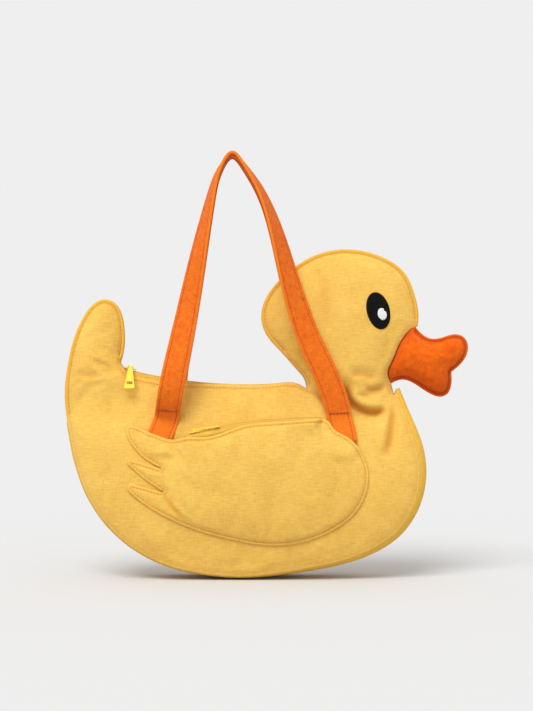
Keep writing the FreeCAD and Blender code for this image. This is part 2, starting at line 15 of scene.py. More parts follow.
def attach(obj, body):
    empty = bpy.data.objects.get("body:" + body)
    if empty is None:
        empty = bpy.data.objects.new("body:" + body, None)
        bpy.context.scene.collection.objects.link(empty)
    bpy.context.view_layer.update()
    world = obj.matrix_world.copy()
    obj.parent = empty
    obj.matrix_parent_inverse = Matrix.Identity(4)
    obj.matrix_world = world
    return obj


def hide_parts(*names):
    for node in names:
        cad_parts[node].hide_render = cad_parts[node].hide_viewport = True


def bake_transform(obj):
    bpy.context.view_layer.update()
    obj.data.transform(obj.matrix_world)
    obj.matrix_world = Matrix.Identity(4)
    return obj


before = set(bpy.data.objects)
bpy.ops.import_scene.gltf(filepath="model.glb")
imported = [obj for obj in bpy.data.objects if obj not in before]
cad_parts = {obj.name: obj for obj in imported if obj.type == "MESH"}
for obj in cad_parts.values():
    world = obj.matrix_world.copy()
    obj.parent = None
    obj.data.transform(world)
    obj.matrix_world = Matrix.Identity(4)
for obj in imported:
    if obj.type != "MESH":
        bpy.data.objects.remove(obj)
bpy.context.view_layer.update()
MM = 0.001
CAMERA = (26.5, -1850.0, 221.5)
CLOTH_FRAMES, CLOTH_PRESSURE = 20, 1.5
CLOTH_SLACK = 0.012             # share by which a settled skin is cut too large
CANVAS_THICK, WING_THICK, GUSSET_THICK, FELT_THICK, LINING_THICK, TAPE_THICK = 1.2, 1.6, 1.0, 1.0, 0.5, 0.5
LINING_GAP = 3.2                # from the outside of the canvas to the lining


# ------------------------------------------------------------------------ numbers
def smooth(low, high, value):
    t = np.clip((np.asarray(value, float) - low) / (high - low), 0, 1)
    return t * t * (3 - 2 * t)


def reach(points):
    """How far along a line each of its points lies."""
    return np.concatenate([[0], np.cumsum(np.linalg.norm(np.diff(points, axis=0), axis=1))])


def unit(vectors):
    return vectors / np.linalg.norm(vectors, axis=-1, keepdims=True)


def in_space(points, depth):
    """Points of the front view at their depths in front of the middle plane."""
    return np.stack([points[:, 0], -depth, points[:, 1]], 1)


def through(*points, step=1.0):
    """Points a step apart on a smooth line through the given ones, in any dimension."""
    knots = np.array(points, float)
    count = len(knots)
    span = np.linalg.norm(np.diff(knots, axis=0), axis=1)
    at = reach(knots)
    system, right = np.eye(count), np.zeros_like(knots)
    for i in range(1, count - 1):
        system[i, i - 1:i + 2] = span[i - 1], 2 * (span[i - 1] + span[i]), span[i]
        right[i] = 6 * ((knots[i + 1] - knots[i]) / span[i] - (knots[i] - knots[i - 1]) / span[i - 1])
    bend = np.linalg.solve(system, right)
    where = np.linspace(0, at[-1], max(2, int(round(at[-1] / step)) + 1))
    i = np.clip(np.searchsorted(at, where, "right") - 1, 0, count - 2)
    h, a, b = span[i][:, None], (at[i + 1] - where)[:, None], (where - at[i])[:, None]
    cubic = (bend[i] * a ** 3 + bend[i + 1] * b ** 3) / (6 * h)
    return cubic + (knots[i] / h - bend[i] * h / 6) * a + (knots[i + 1] / h - bend[i + 1] * h / 6) * b


def spaced(points, step, dims=2):
    """The same line with its points evenly spaced, both ends kept."""
    points = np.asarray(points, float)
    at = reach(points[:, :dims])
    where = np.linspace(0, at[-1], max(2, int(round(at[-1] / step)) + 1))
    return np.stack([np.interp(where, at, column) for column in points.T], axis=1)


def to_line(points, line, closed=False):
    """Distance from each point to a line, its sign (left is positive) and the place along it."""
    line = np.asarray(line, float)[:, :2]
    ends = np.roll(line, -1, axis=0) if closed else line[1:]
    starts = line if closed else line[:-1]
    run = ends - starts
    length = np.maximum((run ** 2).sum(1), 1e-9)
    start_at = np.concatenate([[0], np.cumsum(np.sqrt(length))])
    best, side, place = (np.full(len(points), value) for value in (1e9, 1.0, 0.0))
    for low in range(0, len(points), 2000):
        some = points[low:low + 2000, None, :2] - starts[None]
        t = np.clip((some * run).sum(2) / length, 0, 1)
        gap = some - t[..., None] * run
        far = (gap ** 2).sum(2)
        pick = far.argmin(1)
        rows = np.arange(len(pick))
        best[low:low + 2000] = np.sqrt(far[rows, pick])
        cross = run[pick, 0] * gap[rows, pick, 1] - run[pick, 1] * gap[rows, pick, 0]
        side[low:low + 2000] = np.where(cross >= 0, 1.0, -1.0)
        place[low:low + 2000] = (start_at[pick] + t[rows, pick] * np.sqrt(length[pick])) / start_at[-1]
    return best, side, place


def ripple(points, size, seed):
    """Even noise from -1 to 1 with bumps of about that size."""
    return np.array([noise.noise(Vector((p[0] / size, p[1] / size, seed))) for p in points])


# ------------------------------------------------------------------ panels of cloth
class Panel:
    """A flat cut of cloth: an outline, rows of points inside its edge and a grid."""

    def __init__(self, strokes, cell=2.6, rows=(), edge_step=2.0):
        loop, kinds, depths = [], [], []
        for kind, line in strokes:
            line = spaced(line, edge_step)[:-1]
            loop += [point[:2] for point in line]
            depths += [point[2] if len(point) > 2 else 0.0 for point in line]
            kinds += [kind] * len(line)
        self.loop, self.kinds, self.edge_depth = np.array(loop), np.array(kinds), np.array(depths)
        following, before = np.roll(self.loop, -1, axis=0), np.roll(self.loop, 1, axis=0)
        area = (self.loop[:, 0] * following[:, 1] - following[:, 0] * self.loop[:, 1]).sum()
        along = following - before
        self.inward = unit(np.stack([-along[:, 1], along[:, 0]], 1) * (1 if area > 0 else -1))
        points, self.row_of, self.edge_of = [self.loop], [np.zeros(len(loop))], [np.arange(len(loop))]
        for row in rows:
            moved = self.loop + self.inward * row
            far, _, _ = to_line(moved, self.loop, True)
            keep = far > row * 0.97
            for i in np.flatnonzero(keep):
                if keep[i - 1] and np.linalg.norm(moved[i] - moved[i - 1]) < 0.45 * edge_step:
                    keep[i] = False
            points.append(moved[keep])
            self.row_of.append(np.full(keep.sum(), row))
            self.edge_of.append(np.flatnonzero(keep))
        low, high = self.loop.min(0), self.loop.max(0)
        across = np.arange(low[0], high[0], cell)
        grid = np.array([
            (x + (cell / 2 if n % 2 else 0), z)
            for n, z in enumerate(np.arange(low[1], high[1], cell * 0.866)) for x in across
        ])
        far, _, _ = to_line(grid, self.loop, True)
        inside = self.contains(grid) & (far > (max(rows) if len(rows) else 0) + cell * 0.7)
        points.append(grid[inside])
        self.row_of.append(np.full(inside.sum(), -1.0))
        self.edge_of.append(np.full(inside.sum(), -1))
        made = delaunay_2d_cdt(
            [Vector(p) for p in np.concatenate(points)], [], [list(range(len(loop)))], 1, 1e-5
        )
        source = np.array([found[0] for found in made[3]])
        self.points = np.array([tuple(v) for v in made[0]])
        self.faces = np.array(made[2])
        self.row_of = np.concatenate(self.row_of)[source]
        self.edge_of = np.concatenate(self.edge_of)[source].astype(int)
        self.distance, _, _ = to_line(self.points, self.loop, True)
        self.on_edge = self.row_of == 0

    def contains(self, points):
        inside = np.zeros(len(points), bool)
        x0, z0 = self.loop.T
        x1, z1 = np.roll(self.loop, -1, axis=0).T
        for a, b, c, d in zip(x0, z0, x1, z1):
            crosses = (b > points[:, 1]) != (d > points[:, 1])
            if b != d:
                inside ^= crosses & (points[:, 0] < (c - a) * (points[:, 1] - b) / (d - b) + a)
        return inside

    def from_edge(self, values):
        """The outline's values at the points of the edge and its rows, elsewhere 0 or False."""
        found = np.zeros(len(self.points), values.dtype)
        known = self.edge_of >= 0
        found[known] = values[self.edge_of[known]]
        return found

    def kind_at(self, kind):
        """True for the points of the edge and its rows that belong to this kind of edge."""
        return self.from_edge(self.kinds == kind)

    def relax(self, fixed, values, pull, push):
        """Depth of a taut skin that is held at fixed points, drawn to zero by pull and swollen by push."""
        p, f = self.points, self.faces
        first, second, weight = [], [], []
        mass = np.zeros(len(p))
        for a, b, c in ((0, 1, 2), (1, 2, 0), (2, 0, 1)):
            u, v = p[f[:, a]] - p[f[:, c]], p[f[:, b]] - p[f[:, c]]
            cross = np.abs(u[:, 0] * v[:, 1] - u[:, 1] * v[:, 0]) + 1e-9
            first.append(f[:, a])
            second.append(f[:, b])
            weight.append(0.5 * (u * v).sum(1) / cross)
            mass += np.bincount(f[:, a], cross / 6, len(p))
        i, j = np.concatenate(first), np.concatenate(second)
        w = np.maximum(np.concatenate(weight), 0.01)
        diagonal = np.bincount(i, w, len(p)) + np.bincount(j, w, len(p)) + mass * pull

        def apply(y):
            return diagonal * y - np.bincount(i, w * y[j], len(p)) - np.bincount(j, w * y[i], len(p))

        free = ~fixed
        y = np.where(fixed, values, 0.0)
        left = np.where(free, mass * push - apply(y), 0.0)
        ready = left / diagonal
        way, power = ready.copy(), (left * ready).sum()
        for _ in range(900):
            moved = np.where(free, apply(way), 0.0)
            step = power / max((way * moved).sum(), 1e-30)
            y += step * way
            left -= step * moved
            if np.abs(left).max() < 1e-7:
                break
            ready = left / diagonal
            grown = (left * ready).sum()
            way, power = ready + way * grown / power, grown
        return y


class Surface:
    """Depth of a finished skin at any place in the front view."""

    def __init__(self, points, depth, faces):
        corners = [(p[0], -d, p[1]) for p, d in zip(points, depth)]
        self.tree = BVHTree.FromPolygons(corners, [tuple(face) for face in faces])

    def at(self, places):
        found = []
        for place in places:
            hit = self.tree.ray_cast(Vector((place[0], -200, place[1])), Vector((0, 1, 0)))[0]
            if hit is None:
                hit = self.tree.find_nearest(Vector((place[0], 0, place[1])))[0]
            found.append(-hit.y)
        return np.array(found)


def fold(points, line, width, depth, lip=0.0, ends=0.25):
    """A crease along a line in the front view: a groove, and a lip raised on its left side."""
    gap, side, place = to_line(points, line)
    taper = smooth(0, ends, place) * smooth(0, ends, 1 - place)
    groove = -np.exp(-(gap / width) ** 2)
    raised = lip * (side * gap / width) * np.exp(-(gap / (1.7 * width)) ** 2)
    return depth * taper * (groove + raised)


# ----------------------------------------------------------------------- meshes
def grid_faces(rows, wide):
    """Four-sided faces over rows of points."""
    return [
        (r * wide + c, r * wide + c + 1, (r + 1) * wide + c + 1, (r + 1) * wide + c)
        for r in range(rows - 1) for c in range(wide - 1)
    ]


def tube_faces(base, rings, around, flip=False):
    """Faces of a closed tube of rings of points that are numbered from base."""
    faces = []
    for ring in range(rings - 1):
        for turn in range(around):
            a, b = base + ring * around + turn, base + ring * around + (turn + 1) % around
            faces.append((a, b, b + around, a + around))
    faces.append(tuple(base + n for n in reversed(range(around))))
    faces.append(tuple(base + (rings - 1) * around + n for n in range(around)))
    return [face[::-1] for face in faces] if flip else faces


def mesh_object(name, corners, faces, material, smooth_shade=True, coords=None):
    """An object from corners in millimetres; coords are the cloth's own flat coordinates."""
    mesh = bpy.data.meshes.new(name)
    corners = np.asarray(corners, float)
    mesh.from_pydata((corners * MM).tolist(), [], [list(map(int, face)) for face in faces])
    mesh.update()
    layer = mesh.uv_layers.new(name="cloth")
    flat = corners[:, [0, 2]] if coords is None else np.asarray(coords, float)
    corner_of = np.zeros(len(mesh.loops), np.int32)
    mesh.loops.foreach_get("vertex_index", corner_of)
    layer.data.foreach_set("uv", (flat[corner_of] * MM).ravel().astype(np.float32))
    if smooth_shade:
        mesh.polygons.foreach_set("use_smooth", [True] * len(mesh.polygons))
    made = bpy.data.objects.new(name, mesh)
    bpy.context.scene.collection.objects.link(made)
    mesh.materials.append(material)
    return made


def mask(made, name, values):
    """A value at each corner that the material can read."""
    attribute = made.data.attributes.new(name, "FLOAT", "POINT")
    attribute.data.foreach_set("value", np.asarray(values, np.float32))


def apply_modifiers(made):
    graph = bpy.context.evaluated_depsgraph_get()
    final = made.evaluated_get(graph)
    mesh = bpy.data.meshes.new_from_object(final, preserve_all_data_layers=True, depsgraph=graph)
    made.modifiers.clear()
    made.data = mesh
    mesh.polygons.foreach_set("use_smooth", [True] * len(mesh.polygons))


def settle(panel, depth, held, cap):
    """Cloth simulation of a skin cut a little too large and held at its seams: the new depths.

    The skin swells between its seams and wrinkles where it has too much cloth; no point moves
    further than the cap.
    """
    corners = in_space(panel.points, depth)
    made = mesh_object("settling", corners, panel.faces, COTTON)
    group = made.vertex_groups.new(name="held")
    group.add([int(i) for i in np.flatnonzero(held)], 1.0, "REPLACE")
    cloth = made.modifiers.new("cloth", "CLOTH")
    cloth.settings.quality = 5
    cloth.settings.mass = 0.3
    cloth.settings.vertex_group_mass = "held"
    cloth.settings.effector_weights.gravity = 0.0
    cloth.settings.use_pressure = True
    cloth.settings.uniform_pressure_force = CLOTH_PRESSURE
    cloth.settings.shrink_min = -CLOTH_SLACK
    cloth.settings.bending_stiffness = 0.25
    cloth.collision_settings.use_collision = False
    cloth.point_cache.frame_start, cloth.point_cache.frame_end = 1, CLOTH_FRAMES
    for number in range(1, CLOTH_FRAMES + 1):
        bpy.context.scene.frame_set(number)
    settled = made.evaluated_get(bpy.context.evaluated_depsgraph_get()).data
    found = np.zeros(3 * len(panel.points), np.float32)
    settled.vertices.foreach_get("co", found)
    bpy.context.scene.frame_set(1)
    mesh = made.data
    bpy.data.objects.remove(made)
    bpy.data.meshes.remove(mesh)
    moved = -found[1::3] / MM - depth
    return depth + cap * np.tanh(moved / cap)


def thicken(made, thickness):
    """Gives a skin its cloth's thickness, inwards."""
    solid = made.modifiers.new("thickness", "SOLIDIFY")
    solid.thickness, solid.offset = thickness * MM, -1.0
    apply_modifiers(made)


def skin(name, points, depth, faces, material, side, thickness, masks=None):
    """A panel's mesh on the front (side 1) or on the back (side -1)."""
    made = mesh_object(name, in_space(points, side * depth), faces if side > 0 else faces[:, ::-1], material)
    centre = made.data.polygons[len(made.data.polygons) // 2].normal.y
    if centre * side > 0:
        made.data.flip_normals()
    for key, values in (masks or {}).items():
        mask(made, key, values)
    if thickness:
        thicken(made, thickness)
    return made


def sewn(name, lines, material, length=2.5, gap=1.0, radius=0.36):
    """Rows of stitches: short rounded threads along 3-D lines."""
    rings, around = ((-0.5, 0.15), (-0.36, 0.85), (0.0, 1.0), (0.36, 0.85), (0.5, 0.15)), 5
    corners, faces = [], []
    for line in lines:
        line = np.asarray(line, float)
        at = reach(line)
        for number in range(int(at[-1] / (length + gap))):
            start = number * (length + gap) + gap / 2
            ends = np.array([[np.interp(start + d, at, column) for column in line.T] for d in (0, length)])
            long = np.linalg.norm(ends[1] - ends[0])
            if long < length * 0.5:
                continue
            along = (ends[1] - ends[0]) / long
            aside = unit(np.cross(along, (0.13, 1.0, 0.21)))
            other = np.cross(along, aside)
            base = len(corners)
            for place, thick in rings:
                for turn in range(around):
                    angle = turn * math.tau / around
                    out = (aside * math.cos(angle) + other * math.sin(angle)) * radius * thick
                    corners.append(ends.mean(0) + along * place * long + out)
            faces += tube_faces(base, len(rings), around)
    return mesh_object(name, corners, faces, material)


# -------------------------------------------------------------------- materials
def give(node, values):
    for name, value in values.items():
        node.inputs[name].default_value = value


class Finish:
    """A material: its shader, and short names for the nodes that feed it."""

    def __init__(self, name, colour, roughness, sheen=0.0, specular=0.3):
        self.material = bpy.data.materials.new(name)
        self.material.use_nodes = True
        self.tree = self.material.node_tree
        self.shader = self.tree.nodes["Principled BSDF"]
        give(self.shader, {"Base Color": (*colour, 1), "Roughness": roughness, "Specular IOR Level": specular})
        give(self.shader, {"Sheen Weight": sheen, "Sheen Roughness": 0.5})

    def new(self, kind, values=None, **settings):
        made = self.tree.nodes.new(kind)
        for key, value in settings.items():
            setattr(made, key, value)
        give(made, values or {})
        return made

    def link(self, output, target):
        self.tree.links.new(output, target)

    def coords(self, scale, source):
        mapping = self.new("ShaderNodeMapping", {"Scale": scale})
        self.link(self.new("ShaderNodeTexCoord").outputs[source], mapping.inputs["Vector"])
        return mapping.outputs["Vector"]

    def noise(self, scale, detail=3.0, source="UV", rough=0.55):
        made = self.new("ShaderNodeTexNoise", {"Scale": 1.0, "Detail": detail, "Roughness": rough})
        self.link(self.coords(scale, source), made.inputs["Vector"])
        return made.outputs["Fac"]

    def wave(self, scale, direction):
        sizes = {"Scale": 1.0, "Distortion": 0.6, "Detail": 1.0, "Detail Scale": 0.7}
        made = self.new("ShaderNodeTexWave", sizes, wave_type="BANDS", bands_direction=direction)
        self.link(self.coords(scale, "UV"), made.inputs["Vector"])
        return made.outputs["Fac"]

    def math(self, kind, first, second):
        made = self.new("ShaderNodeMath", operation=kind)
        for value, target in zip((first, second), made.inputs):
            if isinstance(value, (int, float)):
                target.default_value = value
            else:
                self.link(value, target)
        return made.outputs[0]

    def mix(self, factor, first, second):
        made = self.new("ShaderNodeMix", data_type="RGBA")
        self.link(factor, made.inputs["Factor"])
        for value, target in ((first, made.inputs["A"]), (second, made.inputs["B"])):
            if isinstance(value, tuple):
                target.default_value = (*value, 1)
            else:
                self.link(value, target)
        return made.outputs["Result"]

    def weighted(self, first, much, second, more):
        return self.math("ADD", self.math("MULTIPLY", first, much), self.math("MULTIPLY", second, more))

    def attribute(self, name):
        return self.new("ShaderNodeAttribute", attribute_name=name).outputs["Fac"]

    def ramp(self, value, low, high):
        made = self.new("ShaderNodeMapRange", {"From Min": low, "From Max": high})
        self.link(value, made.inputs["Value"])
        return made.outputs["Result"]

    def done(self, colour, height, strength, distance):
        """The material with its colour and its bumps."""
        bump = self.new("ShaderNodeBump", {"Strength": strength, "Distance": distance})
        self.link(height, bump.inputs["Height"])
        self.link(bump.outputs["Normal"], self.shader.inputs["Normal"])
        self.link(colour, self.shader.inputs["Base Color"])
        return self.material


def canvas(name, light, dark, edge, thread=1400.0):
    """Cotton canvas: plain weave with slubs along the weft and a little fuzz, and painted shade where its crease
    mask is set.
    """
    n = Finish(name, light, 0.9, 0.06)
    weave = n.math("MULTIPLY", n.wave((thread, 0, 0), "X"), n.wave((0, thread, 0), "Y"))
    slub = n.noise((110, 900, 1), 4.0)
    warp = n.noise((800, 140, 1))
    mottle = n.noise((28, 34, 1))
    threads = n.weighted(slub, 0.65, warp, 0.35)
    body = n.mix(n.ramp(n.weighted(threads, 0.75, mottle, 0.25), 0.36, 0.62), dark, light)
    # painted shade: a deeper orange that the crease mask mixes in at folds, seams and hollows
    shade = tuple(c * d for c, d in zip(dark, (0.92, 0.62, 0.30)))
    deep = n.mix(n.attribute("crease"), body, shade)
    return n.done(n.mix(n.attribute("edge"), deep, edge), n.weighted(weave, 0.5, threads, 1.8), 0.7, 0.0005)


def twill(name, light, dark, edge):
    """Brushed twill webbing, mottled like denim."""
    n = Finish(name, light, 0.85, 0.03, 0.15)
    diagonal = n.wave((900, 540, 0), "DIAGONAL")
    mottle = n.noise((160, 160, 1), 5.0, rough=0.7)
    grain = n.noise((900, 420, 1))
    body = n.mix(n.ramp(n.weighted(mottle, 0.6, grain, 0.4), 0.36, 0.64), dark, light)
    return n.done(n.mix(n.attribute("edge"), body, edge), n.weighted(diagonal, 0.4, grain, 1.4), 0.5, 0.0004)


def felt(name, light, dark, sheen=0.08, shade=None):
    """Pressed felt: short matted fibres with no weave; a shade colour, where given, is painted shade that the
    crease mask mixes in.
    """
    n = Finish(name, light, 0.95, sheen, 0.12)
    fibre = n.noise((1300, 1300, 1300), 4.0, "Object", 0.7)
    cloud = n.noise((170, 170, 170), 4.0, "Object", 0.6)
    body = n.mix(n.ramp(n.weighted(fibre, 0.5, cloud, 0.5), 0.38, 0.62), dark, light)
    if shade:
        body = n.mix(n.attribute("crease"), body, shade)
    return n.done(body, fibre, 0.5, 0.0005)


def plain(name, light, dark, roughness, scale=600.0, coat=0.0, bump=0.1):
    """A smooth finish with faint unevenness: thread, coil or paint."""
    n = Finish(name, light, roughness, 0.0, 0.5)
    give(n.shader, {"Coat Weight": coat})
    grain = n.noise((scale, scale, scale), 3.0, "Object")
    return n.done(n.mix(n.ramp(grain, 0.35, 0.65), dark, light), grain, bump, 0.0003)


YELLOW = canvas("yellow_canvas", (0.93, 0.60, 0.125), (0.78, 0.43, 0.065), (0.88, 0.48, 0.045))
# the gusset's canvas: a more saturated yellow than the panels, painted shade standing in for the side-lit gusset
SHADED_GOLD = canvas("gold_canvas", (0.93, 0.55, 0.050), (0.82, 0.45, 0.040), (0.80, 0.40, 0.04))
ORANGE = twill("orange_twill", (0.80, 0.176, 0.009), (0.59, 0.094, 0.005), (0.82, 0.195, 0.012))
# the beak felt's last colour is painted shade for its rim, its face seam and its lower part
BEAK = felt("orange_felt", (0.80, 0.142, 0.005), (0.56, 0.072, 0.003), 0.03, (0.42, 0.040, 0.002))
BLACK = felt("black_felt", (0.0065, 0.006, 0.0055), (0.003, 0.003, 0.003), 0.0)
WHITE = felt("white_thread", (0.74, 0.74, 0.72), (0.62, 0.62, 0.60), 0.05)
THREAD = plain("gold_thread", (0.74, 0.27, 0.022), (0.62, 0.20, 0.016), 0.7)
RED_THREAD = plain("rust_thread", (0.40, 0.045, 0.006), (0.32, 0.034, 0.005), 0.7)
ORANGE_THREAD = plain("orange_thread", (0.58, 0.075, 0.006), (0.48, 0.060, 0.005), 0.7)
COIL = plain("zip_coil", (0.78, 0.46, 0.05), (0.68, 0.38, 0.04), 0.45)
TAPE = canvas("zip_tape", (0.82, 0.50, 0.07), (0.72, 0.41, 0.05), (0.6, 0.33, 0.05), 2200.0)
PAINT = plain("yellow_paint", (0.96, 0.62, 0.028), (0.93, 0.59, 0.024), 0.28, 250.0, 0.6, 0.02)
COTTON = canvas("lining_cotton", (0.72, 0.60, 0.36), (0.64, 0.52, 0.30), (0.7, 0.6, 0.4), 2000.0)
FIBRE = felt("loose_fibre", (0.84, 0.83, 0.80), (0.74, 0.73, 0.70))

# -------------------------------------------------------------- the duck's cloth
# from the edge of a turned seam to its topstitching
WELT, ZIP_WELT, WING_WELT, BEAK_WELT = 3.7, 3.4, 3.2, 2.9
WELT_DEPTH = 1.7
RUMP = (-172.5, 155.0)
BREAST_TOP, THROAT, FACE_LOW = (156.5, 188.0), (153.5, 183.0), (151.0, 193.6)
FACE_TOP, HEAD_END = (173.0, 252.5), (177.6, 250.6)
NAPE, BACK_END, TAIL_NOTCH = (66.5, 188.5), (-111.0, 202.5), (-119.0, 214.0)
FACE_KNOTS = ((147.3, 204.3), (152.7, 217.7), (158.0, 231.0), (164.3, 241.0))
# Along the seam with the gusset: X, Z, depth of the seam, and how far the gusset stands out.
GUSSET_SEAM = through(
    (*RUMP, 2.0, 1.0), (-165.5, 123, 11, 1.8), (-143.8, 70.5, 21, 2.4), (-102.5, 29.5, 25.5, 2.8),
    (-62, 11.6, 27, 3), (-30, 5.6, 27, 3.1), (0, 3.4, 27, 3.2), (42, 7.4, 27, 4.1), (78, 13.6, 27, 4.8),
    (110, 21.8, 26.5, 5.6), (158, 50.5, 25.5, 7), (177.8, 94, 24, 7.2), (176, 128, 21, 7), (164, 163.5, 13, 5.5),
    (*BREAST_TOP, 3.5, 3),
)


def with_depth(line, depths):
    """Adds a depth column to a line, spread over it."""
    share = np.linspace(0, 1, len(line))
    column = np.interp(share, np.linspace(0, 1, len(depths)), depths)
    return np.column_stack([line[:, :2], column])


FACE_SEAM = with_depth(through(FACE_LOW, *FACE_KNOTS, FACE_TOP), (2, 7, 10, 11, 10, 6, 2.6))
CHEEK_SEAM = with_depth(through(FACE_LOW, *FACE_KNOTS, (170, 247), HEAD_END), (2, 7, 10, 11, 10, 6, 1.7))
HEAD_EDGE = through(
    HEAD_END, (178.4, 262), (175, 280.5), (165, 303.5), (139, 321.3), (106, 327.7), (74, 321.3), (45, 302),
    (26, 279), (21.2, 261), (26, 243), (41, 225), (57, 207), (64.5, 197), NAPE,
)
ZIP_EDGE = with_depth(
    through(NAPE, (60, 192.4), (54, 194.4), (46, 194.8), (34, 193.6), (-30, 193.3), (-48, 193.7), (-75, 195.4),
            (-100, 199.8), BACK_END),
    (3, 5.4, 6.3, 6.3, 6.3, 6.3, 6.3, 6.3, 4),
)
TAIL_EDGE = through(
    TAIL_NOTCH, (-116, 226), (-115.8, 252), (-118.5, 264), (-124.5, 273.5), (-135, 277.8), (-146, 273.4),
    (-156, 261), (-165, 241.5), (-172, 213), (-175.2, 184), RUMP,
)
duck = Panel(
    [
        ("gusset", GUSSET_SEAM),
        ("notch", with_depth(through(BREAST_TOP, THROAT), (3.0, 2.0))),
        ("notch", with_depth(through(THROAT, FACE_LOW), (2.0, 2.0))),
        ("face", CHEEK_SEAM),
        ("welt", with_depth(HEAD_EDGE, (WELT_DEPTH, WELT_DEPTH))),
        ("zip", ZIP_EDGE),
        ("zip", with_depth(through(BACK_END, TAIL_NOTCH), (4.0, 2.0))),
        ("welt", with_depth(TAIL_EDGE, (WELT_DEPTH, WELT_DEPTH))),
    ],
    cell=2.7, rows=(1.0, 2.6, WELT, 4.8, 6.6, 9.0),
)


def body_depth(z):
    """Half depth of the filled body at each height, as in the CAD model."""
    return np.interp(z, (0, 30, 65, 100, 130, 166, 200), (30, 32.3, 33.3, 32, 29.5, 24.5, 20))


def duck_depth():
    p = duck.points
    x, z = p.T
    near_welt = duck.kind_at("welt")
    fade = np.ones(len(p))
    for corner in (TAIL_NOTCH, NAPE, HEAD_END, RUMP):
        fade = np.minimum(fade, smooth(3.0, 12.0, np.hypot(x - corner[0], z - corner[1])))
    fade = np.minimum(fade, np.where((x > 20) & (x < 75), smooth(212, 240, z), 1.0))
    held = duck.on_edge | (near_welt & (duck.row_of > 0) & (duck.row_of <= WELT) & (fade > 0.5))
    values = duck.from_edge(duck.edge_depth)
    welt_shape = np.interp(duck.row_of, (0, 1.0, 2.6, WELT), (0.5, 1.8, 1.9, 1.0))
    values = np.where(near_welt & (duck.row_of <= WELT), welt_shape, values)
    pull = (1 - smooth(146, 176, z)) / 13.0 ** 2
    rest = duck.relax(held, values, pull, pull * body_depth(z))
    swell = duck.relax(held, np.zeros(len(p)), pull, np.ones(len(p)))
    head = smooth(150, 215, z) * smooth(-20, 20, x)
    tail = smooth(165, 215, z) * (1 - smooth(-118, -100, x))
    puff = np.maximum(swell, 0) ** 0.6
    return rest, puff, head, tail


rest_depth, puff_depth, head_share, tail_share = duck_depth()


def finish_duck(seed):
    p = duck.points
    x, z = p.T
    depth = rest_depth + puff_depth * (0.215 * head_share + 0.36 * tail_share)
    loose = smooth(4.0, 14.0, duck.distance)
    # folds: the stuffed neck over the body, the nape, the breast and the foot of the tail
    creases = (
        (through((101, 196), (104, 185), (111, 174), (121, 168), (134, 166), (149, 169.5)), 4.4, 6.4, 1.0),
        (through((108, 199), (116, 202.5), (127, 201), (136, 196)), 3.0, 2.4, -0.6),
        (through((122, 189.5), (133, 188), (144, 191.5), (152, 191)), 3.2, 3.0, 0.7),
        (through((116, 185.5), (122, 182.5), (130, 183)), 2.4, 1.8, 0.5),
        (through((66, 189), (74, 184.5), (83, 177), (89, 169)), 2.8, 3.6, -0.7),
        (through((64, 232), (66, 212), (73, 194)), 5.0, 1.8, 0.6),
        (through((150, 240), (146.5, 224), (145.5, 208)), 4.0, 2.2, 0.6),
        (through((80, 312), (84, 280), (83, 240)), 9.0, 1.3, -0.8),
        (through((158, 182), (151.5, 160), (148, 140), (143, 118)), 4.5, 3.4, -0.7),
        (through((-148, 218), (-138, 214), (-122, 208.5)), 2.4, 1.9, 0.6),
        (through((-164, 204), (-149, 200.5), (-136, 202)), 2.6, 1.5, -0.6),
        (through((-141, 208.5), (-130, 206.5), (-118, 207)), 1.9, 1.2, 0.5),
    )
    # painted shade: this mask darkens the canvas along the topstitching, in the grooves of the folds and in the
    # pit under the neck
    painted_shade = np.exp(-(duck.distance - WELT) ** 2 / 1.2) * 0.25
    for line, width, deep, lip in creases:
        depth += loose * fold(p, line, width, deep, lip)
        painted_shade = np.maximum(painted_shade, -loose * fold(p, line, width * 0.8, deep / 5.0))
    pit = np.exp(-((x - 107) / 6.0) ** 2 - ((z - 186.5) / 7.5) ** 2)
    depth -= 3.4 * pit
    painted_shade = np.maximum(painted_shade, 0.75 * pit)
    depth += loose * 0.8 * ripple(p, 46, seed) + loose * 0.42 * ripple(p, 19, seed + 7)
    pucker = ripple(p, 5.5, seed + 3) * np.exp(-duck.distance / 8.0) * smooth(1.0, 5.0, duck.distance)
    depth = settle(duck, depth + 0.5 * pucker, (duck.row_of >= 0) & (duck.row_of <= 4.8), 3.0)
    return depth, np.clip(painted_shade, 0, 0.9)


front_depth, front_painted_shade = finish_duck(1.7)
back_depth, back_painted_shade = finish_duck(9.2)
x, z = duck.points.T
turned = duck.kind_at("welt") & (duck.row_of >= 0) & (duck.row_of < WELT)
edge_mask = turned * np.where((x > 20) & (x < 75), smooth(208, 236, z), 1.0)
front_cloth = Surface(duck.points, front_depth, duck.faces)
back_cloth = Surface(duck.points, back_depth, duck.faces)
SIDES = ((1, "front", front_cloth), (-1, "back", back_cloth))
NECK = (("bag", "head"), {"start": (0.110, 0, 0.199), "end": (0.1185, 0, 0.2258)})


def finished(piece, body=None, replaces=(), bend=None):
    """Hides the CAD nodes a piece stands for, and hangs the piece on the empty of its body; given a bend, it
    only bakes the piece's transform.
    """
    if replaces:
        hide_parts(*replaces)
    if bend:
        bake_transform(piece)
    else:
        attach(piece, body)
    return piece


# each side's painted shade goes to its canvas as the crease mask
for side, word, depth, painted_shade in ((1, "front", front_depth, front_painted_shade), (-1, "back", back_depth, back_painted_shade)):
    cloth = skin("duck_%s_cloth" % word, duck.points, depth, duck.faces, YELLOW, side, CANVAS_THICK,
                 {"edge": edge_mask, "crease": painted_shade})
    nodes = ("%s_body_panel" % word, "%s_head_cover" % word)
    finished(cloth, replaces=nodes, bend=NECK)


